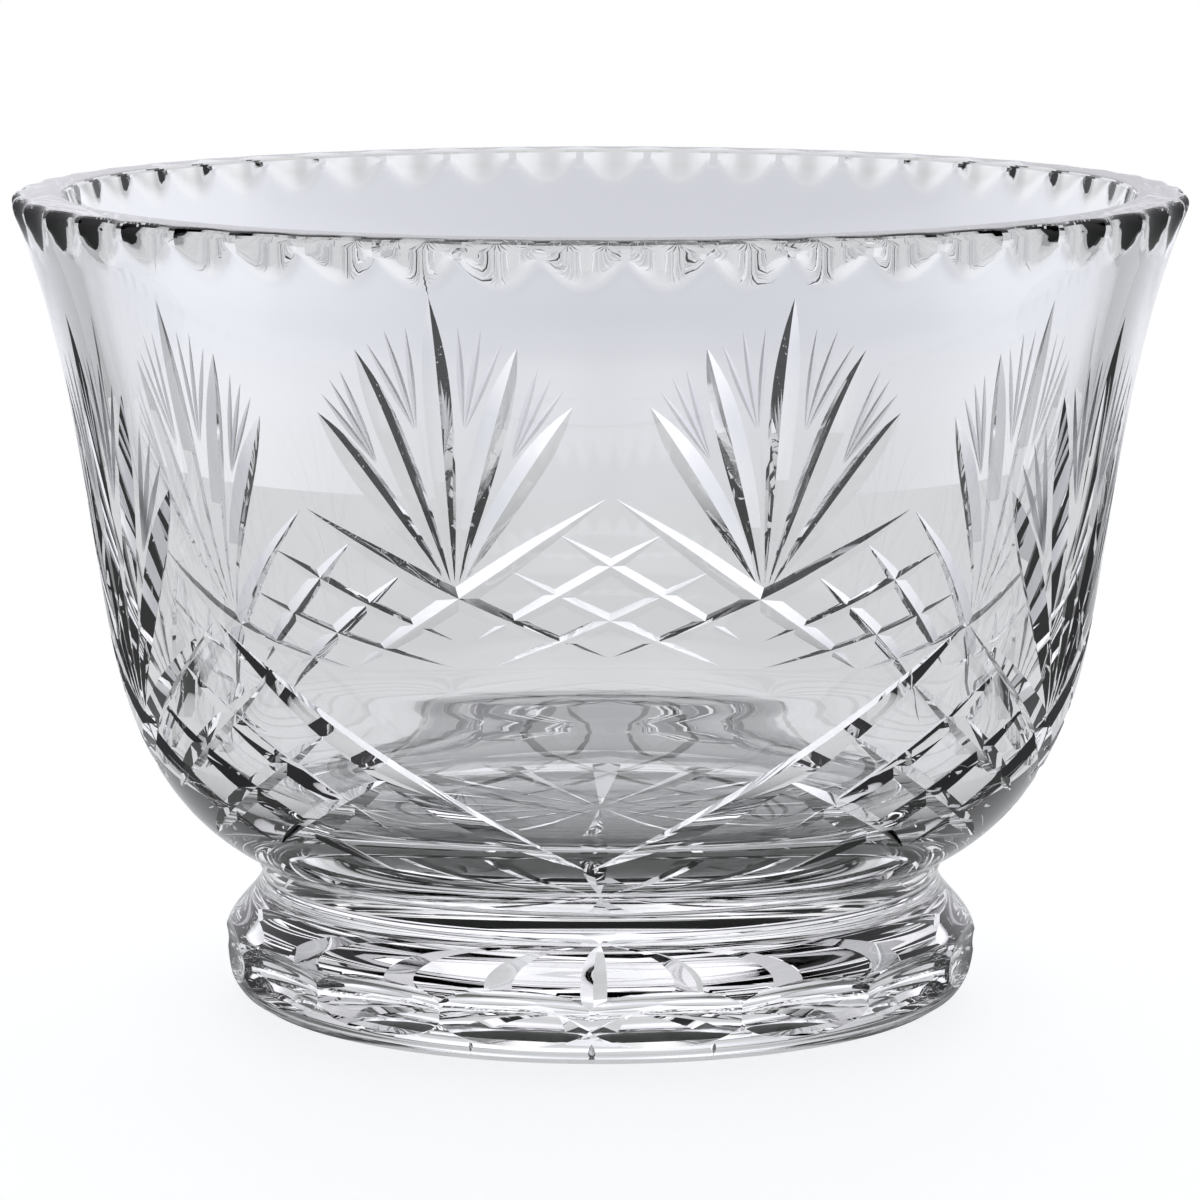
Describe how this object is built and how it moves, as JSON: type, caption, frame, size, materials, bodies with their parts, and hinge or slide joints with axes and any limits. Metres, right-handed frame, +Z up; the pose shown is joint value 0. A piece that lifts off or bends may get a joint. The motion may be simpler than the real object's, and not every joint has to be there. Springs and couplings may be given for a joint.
{
  "type": "punch bowl",
  "caption": "Footed cut-glass punch bowl with flared wall, scooped lip, diamond lattice and fan cuts round a plain front panel, on a thick foot with thumb ovals.",
  "frame": {"origin": "centre of the foot's flat underside ring, on the surface that the bowl stands on", "axes": "+Z up the bowl's axis; the plain front panel faces -Y"},
  "size_m": [0.254, 0.254, 0.176],
  "materials": {
    "crystal": "clear, polished, with polished wheel cuts"
  },
  "bodies": {
    "root": {"bowl": "crystal", "foot": "crystal"}
  },
  "joints": []
}
